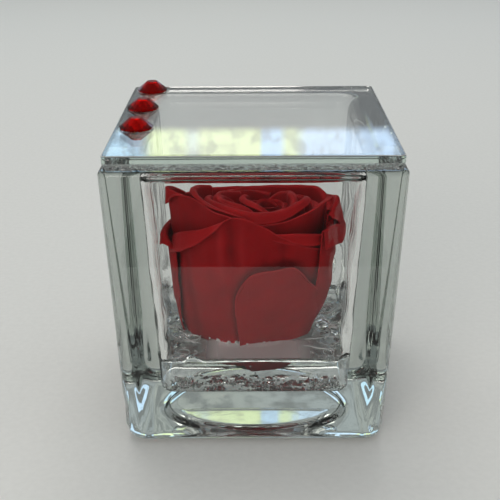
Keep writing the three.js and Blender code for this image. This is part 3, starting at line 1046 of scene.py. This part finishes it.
# Painted light and shade on a petal: its edge is paler, partly its own thin rim and partly a painted
# highlight; the heart's hollows get painted shade; and the strip under a neighbour's lip gets a painted
# shadow.
def shade_at(petal, across, along, azimuth, z):
    painted_hollow_shade = smooth(0.72, 0.58, along) * smooth(0.86, 0.7, petal["rank"])
    edge = min(1, smooth(0.95, 1, along) + smooth(0.96, 1, abs(across)))
    painted_shadow = smooth(PAINTED_SHADOW_REACH, 0.2, edge_distance(petal["under"], azimuth, z)) if petal["under"] else 0
    return EDGE_PALE_AND_HIGHLIGHT * edge - painted_hollow_shade - PAINTED_SHADOW_DEEP * painted_shadow


print("a degree is", MM_PER_DEGREE, "mm on the flower's skin")

# %% [markdown]
# ## Making a petal
# A flat grid is made for each petal and its verts are moved to its shape. A Solidify modifier then gives it
# its thickness, which is true to life at a third of a millimetre.

# %% Making a petal
PETAL_THICKNESS = 0.32
PLAIN_PETAL = dict(pinwheel=-0.25, ruffle=0.6, body=((0, 0), (0, 0)), creases=(), under=(), pale=0)
# columns and rows of the grid, for the petals that are seen whole and for those in the heart
FINE_GRID, HEART_GRID, HEART_RANK = (52, 44), (36, 32), 0.55


def petal_grid(columns, rows):
    """A flat grid from -1 to 1, with a UV map of its own and a fold value on each vert for its painted light
    and shade.
    """
    bm = bmesh.new()
    uv = bm.loops.layers.uv.new("petal")
    bm.verts.layers.float.new("fold")
    bmesh.ops.create_grid(bm, x_segments=columns, y_segments=rows, size=1, calc_uvs=True)
    for face in bm.faces:
        face.smooth = True
        for loop in face.loops:
            loop[uv].uv = (loop.vert.co.x / 2 + 0.5, loop.vert.co.y / 2 + 0.5)
    return bm


def make_petal(number, told):
    petal = dict(PLAIN_PETAL, seed=number, **told)
    ends = petal["lip"][0][0], petal["lip"][-1][0]
    petal["azimuth"], petal["half_width"] = sum(ends) / 2, (ends[1] - ends[0]) / 2
    bm = petal_grid(*(FINE_GRID if petal["rank"] > HEART_RANK else HEART_GRID))
    # the fold layer carries each vert's painted light and shade for the colour
    fold = bm.verts.layers.float["fold"]
    lips = {}
    for vert in bm.verts:
        across, along = round(vert.co.x, 5), vert.co.y / 2 + 0.5
        if across not in lips:
            lips[across] = lip_place(petal, across)
        vert.co, vert[fold] = petal_point(petal, across, along, lips[across])
    bmesh.ops.recalc_face_normals(bm, faces=bm.faces)
    piece = finish_piece(bm, f"rose_petal_{number:02d}", f"petal_{number:02d}", "rose_petal", ROSE_PETAL)
    wall = piece.modifiers.new("thickness", "SOLIDIFY")
    wall.thickness, wall.offset = PETAL_THICKNESS * MM, 0
    return piece


print("a petal is", PETAL_THICKNESS, "mm thick, on a grid of", FINE_GRID, "or", HEART_GRID)

# %% [markdown]
# ## The petals of the heart
# The inner petals follow the golden angle, as leaves on a stem do, so a loop works them out. The tight bud
# and the petals next to the cup stand high, and those between them stay low, which gives the hollows that
# the eye looks into; their darkness is partly real shade and partly painted shade from the fold value.

# %% The petals of the heart
INNER_PETALS, GOLDEN_ANGLE, LAST_AZIMUTH = 25, 137.5, -75
BUD_TOP, HOLLOW_TOP, CUP_TOP, BACK_DROP = 61.8, 56, 63.5, 4
LIP_STEPS = (-1, -0.6, -0.2, 0.2, 0.6, 1)


def inner_petal(k):
    outward = k / (INNER_PETALS - 1)
    azimuth = LAST_AZIMUTH - (INNER_PETALS - 1 - k) * GOLDEN_ANGLE
    half_width = mix(100, 62, min(1, outward * 1.6))
    top = mix(BUD_TOP, HOLLOW_TOP, smooth(4, 7, k)) + (CUP_TOP - HOLLOW_TOP) * smooth(16, 21, k)
    back = 0.5 - 0.5 * math.cos(math.radians(azimuth))
    top -= BACK_DROP * back * outward
    lip = [(azimuth + step * half_width, top - 1.6 * abs(step) ** 2.4, -1.6 * smooth(4, 12, k),
            mix(0.35, 0.8, outward), mix(60, 140, outward), mix(0.3, 1, outward)) for step in LIP_STEPS]
    return dict(rank=0.02 + 0.7 * outward, lip=lip, ruffle=mix(0.7, 1.2, outward), pinwheel=-0.3)


print("azimuths of the first heart petals:", [round(inner_petal(k)["lip"][0][0] % 360) for k in range(4)])

# %% [markdown]
# ## The petals that are seen
# The petals that the eye reads first are told one by one. Each line of a lip is azimuth in degrees (0 is
# the front, positive to the right), height, stand-off, roll radius, turn of the roll in degrees, and the
# length of the flap that hangs past it. A body's pairs, from the petal's left to its right, say how far it
# stands off low down and half way up.

# %% The petals that are seen
GUARD_LIP = (
    (-16.5, 36, 1.2, 0.3, 45, 0.4), (-15.6, 41.5, 1.2, 0.3, 45, 0.4), (-13, 45, 1.1, 0.3, 45, 0.4),
    (-9, 48, 1, 0.3, 45, 0.4), (-4, 50.2, 0.9, 0.3, 45, 0.4), (3, 51.4, 0.9, 0.4, 50, 0.5),
    (10, 51.6, 0.5, 0.4, 50, 0.5), (18, 52.2, 0.6, 0.5, 70, 0.8), (23, 51.8, 0.7, 0.5, 80, 1),
    (28, 49.6, 0.7, 0.5, 80, 1), (34, 46.4, 0.6, 0.5, 70, 0.8), (43, 43, 0.4, 0.4, 50, 0.5),
    (56, 38, 0.2, 0.3, 30, 0.3))
TOLD_PETALS = {
    # three high lips round the bud, with hollows between them
    7: dict(rank=0.195, pinwheel=0, ruffle=0.4, lip=(
        (-140, 60.5, -0.5, 0.5, 100, 0.6), (-115, 63.4, -0.8, 0.7, 120, 0.8), (-70, 64.4, -0.8, 0.8, 130, 1),
        (-35, 64.4, -0.3, 0.8, 130, 1), (-8, 63.6, 1.2, 0.8, 120, 1), (14, 61, 1.6, 0.6, 90, 0.6))),
    8: dict(rank=0.224, pinwheel=0, ruffle=0.4, lip=(
        (28, 61, 1.4, 0.6, 90, 0.6), (42, 63.6, 1.6, 0.8, 120, 1), (70, 64.6, -0.6, 0.8, 130, 1),
        (95, 64.8, -1.6, 0.8, 130, 1), (125, 64, -0.8, 0.8, 130, 1), (155, 62.4, 0.2, 0.7, 110, 0.8),
        (172, 60, 0.2, 0.5, 80, 0.5))),
    12: dict(rank=0.34, pinwheel=0, ruffle=0.4, lip=(
        (-128, 60, 1.5, 0.6, 100, 0.6), (-106, 63, 2.6, 0.8, 120, 1), (-80, 64.2, 1.8, 0.9, 130, 1.2),
        (-56, 64.4, 0.2, 0.9, 130, 1.2), (-32, 63.8, -0.8, 0.8, 120, 1), (-10, 61, -1.2, 0.6, 90, 0.6))),
    # a ridge between the bud and the cup, and the bright front of the cup itself
    17: dict(rank=0.487, pinwheel=0, ruffle=0.4, lip=(
        (-150, 61, -0.3, 0.7, 110, 0.8), (-120, 63.2, -0.5, 0.8, 130, 1.2), (-92, 64, -1, 0.8, 140, 1.5),
        (-64, 64, -2, 0.8, 140, 1.5), (-38, 63.6, -3, 0.7, 130, 1.2), (-10, 61.5, -3.6, 0.6, 100, 0.8))),
    20: dict(rank=0.574, pinwheel=0, ruffle=0.5, lip=(
        (-104, 63, -0.5, 0.9, 150, 1), (-74, 65, -0.6, 1, 150, 1.4), (-46, 65.8, -0.6, 1.1, 150, 1.8),
        (-22, 65.4, -0.6, 1.2, 150, 2.2), (2, 65.2, -0.9, 1.2, 150, 2.2), (24, 65.6, -1.6, 1.1, 150, 1.8),
        (44, 66.4, -2.4, 1, 140, 1.4), (64, 66, -3.4, 0.8, 120, 1), (84, 64.5, -4.2, 0.6, 100, 0.6))),
    # the broad petal to the right of the cup
    23: dict(rank=0.66, pinwheel=0, ruffle=0.5, lip=(
        (-18, 62.5, 0.9, 0.5, 60, 0.4), (2, 62.8, 1.2, 0.5, 60, 0.4), (20, 63.6, 1.5, 0.5, 60, 0.5),
        (38, 65.2, 1.6, 0.6, 70, 0.6), (56, 66.4, 1.4, 0.7, 80, 0.8), (78, 65.4, 0.8, 0.7, 90, 0.8))),
    # the two ridges to the left of the cup
    25: dict(rank=0.72, ruffle=0.4, lip=(
        (-132, 62.5, 0.6, 0.8, 120, 0.8), (-108, 65, 0.4, 0.8, 120, 0.8), (-84, 66.4, -0.6, 0.8, 110, 0.8),
        (-60, 66, -1.4, 0.7, 100, 0.8), (-38, 65.4, -1.2, 0.6, 90, 0.8), (-14, 64.4, -0.6, 0.5, 80, 0.5))),
    28: dict(rank=0.83, ruffle=0.3, pinwheel=0,
        body=((1, 2.5), (1.5, 4.4), (0.8, 1.6), (0, 0), (0, 0)), lip=(
        (-118, 60.5, 2, 0.8, 150, 2), (-106, 64.4, 4.2, 0.7, 170, 3.8), (-97, 66.2, 5, 0.5, 176, 4.6),
        (-90, 66.8, 4.8, 0.4, 172, 4.6), (-83, 67, 2.8, 0.3, 150, 3), (-70, 67, -0.4, 0.4, 45, 0.5),
        (-56, 66.6, -1.8, 0.4, 40, 0.5), (-38, 65.8, -1.2, 0.4, 40, 0.5), (-22, 65.6, 0, 0.4, 40, 0.5),
        (-10, 64, 0.3, 0.4, 40, 0.4))),
    # the petal whose folded lip shows behind the right half of the front petal
    26: dict(rank=0.755, pinwheel=0, ruffle=0.25, lip=(
        (2, 61.4, 2.2, 0.5, 130, 0.6), (12, 61.2, 2.6, 0.6, 155, 1.6), (24, 60.8, 2.8, 0.6, 165, 2.6),
        (36, 59.8, 2.9, 0.6, 165, 2.8), (48, 58.4, 2.7, 0.5, 160, 2), (60, 58, 1.8, 0.5, 130, 0.8),
        (90, 60.5, 0.4, 0.6, 90, 0.6), (118, 60, 0.5, 0.6, 90, 0.6))),
    # the petals at the back
    24: dict(rank=0.69, lip=(
        (85, 60.5, 0.5, 0.8, 110, 0.8), (102, 61, 0.5, 0.9, 120, 1), (118, 63.4, 0.3, 0.9, 120, 1),
        (138, 62.2, 0.3, 0.9, 120, 1), (164, 60.8, 0.2, 0.9, 120, 1), (190, 60.4, 0.2, 0.9, 120, 1),
        (212, 60, 0.2, 0.8, 100, 0.8))),
    27: dict(rank=0.79, lip=(
        (-220, 57.6, 0.3, 0.9, 120, 1.2), (-196, 58.6, 0.3, 1, 130, 1.4), (-172, 59.4, 0.3, 1, 130, 1.4),
        (-148, 60.4, 0.3, 1, 130, 1.4), (-124, 62, 0.3, 0.9, 120, 1.2), (-100, 63.6, 0.3, 0.8, 100, 0.8))),
    31: dict(rank=0.91, lip=(
        (-221, 54, 0.2, 1, 130, 1.6), (-200, 56.5, 0.4, 1.1, 140, 2.2), (-180, 57.5, 0.5, 1.1, 140, 2.4),
        (-160, 57.6, 0.5, 1.1, 140, 2.4), (-140, 57.6, 0.4, 1.1, 140, 2.2), (-121, 55, 0.2, 1, 130, 1.6))),
    # the lip that hangs out at the top right
    29: dict(rank=0.865, pinwheel=0, ruffle=0.3, lip=(
        (66, 61.5, -1.4, 0.5, 120, 1.2), (75, 63.2, -1.2, 0.7, 162, 5), (86, 63.9, -0.8, 0.7, 166, 6),
        (98, 63, -0.5, 0.8, 162, 4.6), (118, 60.6, 0, 1, 140, 2.4), (150, 59, 0, 1, 130, 1.6),
        (182, 57, 0, 0.9, 120, 1.2))),
    # the big front petal, folded to a point at the top, with its left lip turned down
    30: dict(rank=0.9, pinwheel=0, ruffle=0.35,
        body=((6.8, 5.2), (4.2, 2.6), (3, 1.3), (1.5, 0.6), (-0.5, 0), (-1.1, -0.2), (-0.9, 0)), lip=(
        (-76, 55, 1.4, 0.8, 160, 5.2), (-62, 57.8, 1.4, 0.8, 162, 5.4), (-50, 59.8, 1.3, 0.8, 160, 4.6),
        (-38, 61.8, 1, 0.7, 155, 3.2), (-27, 64.2, 0.5, 0.5, 135, 1.4), (-19, 66, 0.1, 0.3, 40, 0.3),
        (-9, 66, 0.3, 0.3, 35, 0.3), (2, 64.2, 0.6, 0.4, 45, 0.4), (13, 61.2, 0.9, 0.4, 50, 0.5),
        (27, 57.8, 1.1, 0.4, 50, 0.5), (40, 55.4, 1, 0.4, 50, 0.5), (52, 53.6, 0.8, 0.4, 40, 0.4)),
        # under: the guard petal's lip, which lays a painted shadow along this petal
        under=GUARD_LIP,
        # its creases bend it, and through the fold value also paint it paler on the ridges and darker in the
        # valleys
        creases=((-27, 0.4, 5, 48, 70), (-20, -0.5, 6, 52, 66), (-12, 0.3, 4, 50, 64), (16, -0.4, 5, 50, 70),
                 (-19, -0.8, 5, 23, 42), (-58, -0.4, 7, 20, 52))),
    # the two outer petals at the sides
    32: dict(rank=0.965, pinwheel=0, ruffle=0.4, body=((-1.8, 1), (-1, 1.6), (-0.4, 1.2), (0, 0.5)), lip=(
        (43, 60.8, 0.8, 0.5, 162, 4.8), (52, 60.8, 0.6, 0.5, 165, 5), (62, 59.6, -0.2, 0.5, 165, 4.8),
        (76, 57.6, -1.1, 0.6, 160, 4), (94, 56.4, -0.7, 0.8, 150, 2.8), (120, 56, 0, 1, 130, 1.6),
        (145, 55, 0, 0.8, 100, 1))),
    33: dict(rank=0.98, pinwheel=0, ruffle=0.4,
        body=((6.4, 4.8), (6, 4.8), (5.6, 4.6), (4, 4), (2, 1.5)), lip=(
        (-70, 51, 1.8, 0.4, 60, 0.4), (-74, 53.4, 2.2, 0.8, 130, 1.2), (-80, 54.8, 2.4, 1, 165, 3),
        (-90, 55, 2, 1.1, 175, 3.2), (-104, 54.4, 1.6, 1.1, 160, 2.4), (-124, 53.4, 1.2, 1, 130, 1.4),
        (-148, 52.6, 0.6, 0.8, 100, 0.8))),
    # the round guard petal, low at the right of the front
    34: dict(rank=1, pinwheel=0, ruffle=0.35, body=((-0.5, 1), (-3, 0.1), (-2, 0)), pale=0.12, lip=GUARD_LIP),
}

rose = []
for number in range(1, 35):
    rose.append(make_petal(number, TOLD_PETALS.get(number) or inner_petal(number - 1)))
print("rose:", len(rose), "petals")

# %% [markdown]
# ## The hip
# The hip is hidden under the petals. The solid model's own piece has the right shape, so it only gets the
# finish of a dried hip: brown-green, fibrous and dull.

# %% The hip
FIBRE_MM, FIBRE_RELIEF_MM = 1.5, 0.3


def hip_material():
    material, tree, shader = new_material("dried_hip", Roughness=0.85)
    place = add_node(tree, "ShaderNodeTexCoord")
    fibre = add_node(tree, "ShaderNodeTexNoise", Vector=place.outputs["Object"], Scale=1 / (FIBRE_MM * MM),
                     Detail=4)
    colour = colour_ramp(tree, fibre.outputs["Fac"], (0.35, "2c1d10"), (0.7, "57492a"))
    bump = add_node(tree, "ShaderNodeBump", Height=fibre.outputs["Fac"], Strength=0.6,
                    Distance=FIBRE_RELIEF_MM * MM)
    feed(tree, shader, dict(Base_Color=colour, Normal=bump.outputs["Normal"]))
    return material


hip = frame["nodes"]["receptacle"]
hip.data.materials.clear()
hip.data.materials.append(hip_material())
print("hip finish:", hip.data.materials[0].name)

# %% [markdown]
# ## The studio's floor and room
# Glass shows what is round it, so the studio matters as much as the material. The floor is plain and pale,
# and the dim room, which is lighter overhead, draws the dark lines along the edges of the glass.

# %% The studio's floor and room
FLOOR_SIZE, FLOOR_GRAIN_MM = 6, 2
ROOM_SHADES = ((0.0, "7d8183"), (0.28, "9a9ea0"), (0.55, "a4a8a9"), (1.0, "d0d4d5"))


def floor_material():
    material, tree, shader = new_material("pale_card", Roughness=0.9, Specular_IOR_Level=0.2)
    place = add_node(tree, "ShaderNodeTexCoord")
    grain = add_node(tree, "ShaderNodeTexNoise", Vector=place.outputs["Object"],
                     Scale=1 / (FLOOR_GRAIN_MM * MM), Detail=3)
    colour = colour_ramp(tree, grain.outputs["Fac"], (0.3, "dadad7"), (0.7, "dededb"))
    tree.links.new(colour, shader.inputs["Base Color"])
    return material


def make_floor():
    bm = bmesh.new()
    bmesh.ops.create_grid(bm, x_segments=8, y_segments=8, size=FLOOR_SIZE / 2)
    bmesh.ops.translate(bm, vec=(0, 0, -0.1 * MM), verts=bm.verts)
    floor = new_object(bm, "floor", floor_material())
    return floor


def make_room():
    world = bpy.data.worlds.new("room")
    scene.world = world
    world.use_nodes = True
    tree = world.node_tree
    place = add_node(tree, "ShaderNodeTexCoord")
    apart = add_node(tree, "ShaderNodeSeparateXYZ", Vector=place.outputs["Generated"])
    colour = colour_ramp(tree, apart.outputs["Z"], *ROOM_SHADES)
    tree.links.new(colour, tree.nodes["Background"].inputs["Color"])
    return world


print("floor and room:", make_floor().name, make_room().name)

# %% [markdown]
# ## The cards in front
# The front glass would mirror the bright floor and lay a veil over the whole rose. A photographer lays cards
# there, and so does this studio. A black one is mirrored by the outer face of the front glass, and keeps the
# floor's glare off the upper petals. A grey one is mirrored by its inner face. Each card is seen only by the
# rays that need it. A darker floor would do the same, but it would be seen in the picture.

# %% The cards in front
# near edge, far edge and half width in metres, colour, and the rays that see it
CARDS = {
    "black_card": (-0.149, -0.25, 0.054, "161616", "visible_glossy"),
    "grey_card": (-0.06, -0.21, 0.04, "404040", "visible_transmission"),
}
CARD_HEIGHT = 0.5 * MM
RAYS = ("visible_camera", "visible_diffuse", "visible_shadow", "visible_glossy", "visible_transmission")


def make_card(name):
    near, far, half, shade, seen_by = CARDS[name]
    bm = bmesh.new()
    bmesh.ops.create_grid(bm, x_segments=1, y_segments=1, size=1)
    bmesh.ops.scale(bm, vec=(half, (near - far) / 2, 1), verts=bm.verts)
    bmesh.ops.translate(bm, vec=(0, (near + far) / 2, CARD_HEIGHT), verts=bm.verts)
    material, _, _ = new_material(name, Base_Color=linear(shade), Roughness=0.9)
    card = new_object(bm, name, material)
    for ray in RAYS:
        setattr(card, ray, ray == seen_by)
    return card


print("cards:", [make_card(name).name for name in CARDS])

# %% [markdown]
# ## The lights
# Two soft lights stand behind. The lower one is a window, which the front of the lid mirrors: green and blue
# panes from side to side, broken up by leaves. The upper one is a dim, pale skylight, which the base
# mirrors. A picture of a window could be used, but a colour ramp and some noise say it all. A wide light in
# front and above lights the rose, and one overhead gives the floor its soft shadow.

# %% The lights
WARM_WHITE = "fffaf4"
PANE_FADE = 0.12
LEAF_GAPS = (0.36, 0.56)
WINDOW_PANES = (
    (0, "b4d4f8"), (0.45, "c0dcfa"), (0.462, "dcecb4"), (0.47, "dcecb4"), (0.476, "b8dcff"),
    (0.492, "b8dcff"), (0.496, "e2f2b0"), (0.55, "e4f3b6"), (0.56, "d0e2d8"), (0.57, "dff0b0"),
    (0.6, "e0f2b0"), (0.61, "b4dcf6"),
)
SKY_PANES = ((0, "cfe2f6"), (0.45, "e2edf2"), (0.55, "eef2e4"), (1, "cfe2f6"))


def make_softbox(name, place, aim, size, power, colour):
    """A large soft light, with its place, aim and size in metres and its power in watts."""
    data = bpy.data.lights.new(name, "AREA")
    data.shape, data.size, data.size_y = "RECTANGLE", *size
    data.energy, data.color = power, linear(colour)[:3]
    light = bpy.data.objects.new(name, data)
    scene.collection.objects.link(light)
    light.location = place
    light.rotation_mode = "QUATERNION"
    light.rotation_quaternion = (Vector(aim) - Vector(place)).to_track_quat("-Z", "Y")
    return light


def hang_panes(light, panes_at, leaf_scale, dimmest):
    """Gives a softbox coloured panes with leaves before them, and a soft upper and lower edge."""
    light.data.use_nodes = True
    tree = light.data.node_tree
    place = add_node(tree, "ShaderNodeTexCoord").outputs["UV"]
    apart = add_node(tree, "ShaderNodeSeparateXYZ", Vector=place)
    panes = colour_ramp(tree, apart.outputs["X"], *panes_at)
    stretch = add_node(tree, "ShaderNodeMapping", Vector=place, Scale=leaf_scale)
    leaves = add_node(tree, "ShaderNodeTexNoise", Vector=stretch.outputs["Vector"], Scale=1, Detail=5)
    soft, product = {"interpolation_type": "SMOOTHSTEP"}, {"operation": "MULTIPLY"}
    gaps = add_node(tree, "ShaderNodeMapRange", soft, Value=leaves.outputs["Fac"], From_Min=LEAF_GAPS[0],
                    From_Max=LEAF_GAPS[1], To_Min=dimmest)
    rise = add_node(tree, "ShaderNodeMapRange", soft, Value=apart.outputs["Y"], From_Max=PANE_FADE)
    fall = add_node(tree, "ShaderNodeMapRange", soft, Value=apart.outputs["Y"], From_Min=1,
                    From_Max=1 - PANE_FADE)
    both = add_node(tree, "ShaderNodeMath", product, _0=rise.outputs["Result"], _1=fall.outputs["Result"])
    strength = add_node(tree, "ShaderNodeMath", product, _0=both.outputs["Value"], _1=gaps.outputs["Result"])
    feed(tree, tree.nodes["Emission"], dict(Strength=strength.outputs["Value"], Color=panes))


window = make_softbox("window", (0, 1.0, 0.43), (0, 0, 0.43), (1.44, 0.14), 1.15, "ffffff")
hang_panes(window, WINDOW_PANES, (60, 5, 1), 0.55)
skylight = make_softbox("skylight", (0, 1.0, 0.67), (0, 0, 0.1), (1.44, 0.2), 0.3, "ffffff")
hang_panes(skylight, SKY_PANES, (34, 4, 1), 0.06)
make_softbox("key_in_front", (-0.3, -0.95, 0.45), (0, 0, 0.05), (0.8, 0.5), 5.0, WARM_WHITE)
make_softbox("light_above", (-0.1, 0.5, 1.15), (0, 0, 0), (0.8, 0.6), 4.0, WARM_WHITE)
scene.view_settings.view_transform = "Standard"
